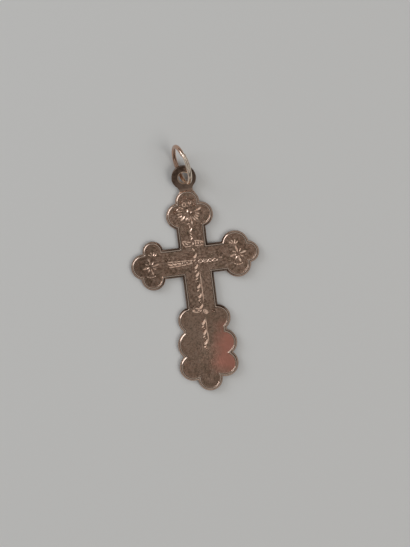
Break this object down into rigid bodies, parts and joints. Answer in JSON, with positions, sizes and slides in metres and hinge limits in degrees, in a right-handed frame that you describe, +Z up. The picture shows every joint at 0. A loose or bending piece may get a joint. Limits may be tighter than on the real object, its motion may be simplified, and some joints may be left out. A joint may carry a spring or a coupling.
{
  "type": "orthodox cross pendant",
  "caption": "Flat cross pendant with trefoil arms, a scalloped foot, a raised rim and engraved ornament, and a jump ring through its bent eyelet tab.",
  "frame": {"origin": "middle of the overall box, on the surface that the cross lies on", "axes": "+X across the arms to the right seen from the engraved front, +Y from the foot to the jump ring, +Z up out of the engraved front"},
  "size_m": [0.0204, 0.039, 0.0062],
  "materials": {
    "rose_gold": "worn satin rose gold with bright cuts and darker recesses",
    "ring_gold": "polished rose gold wire with light wear"
  },
  "bodies": {
    "root": {"cross": "rose_gold", "jump_ring": "ring_gold"}
  },
  "joints": []
}
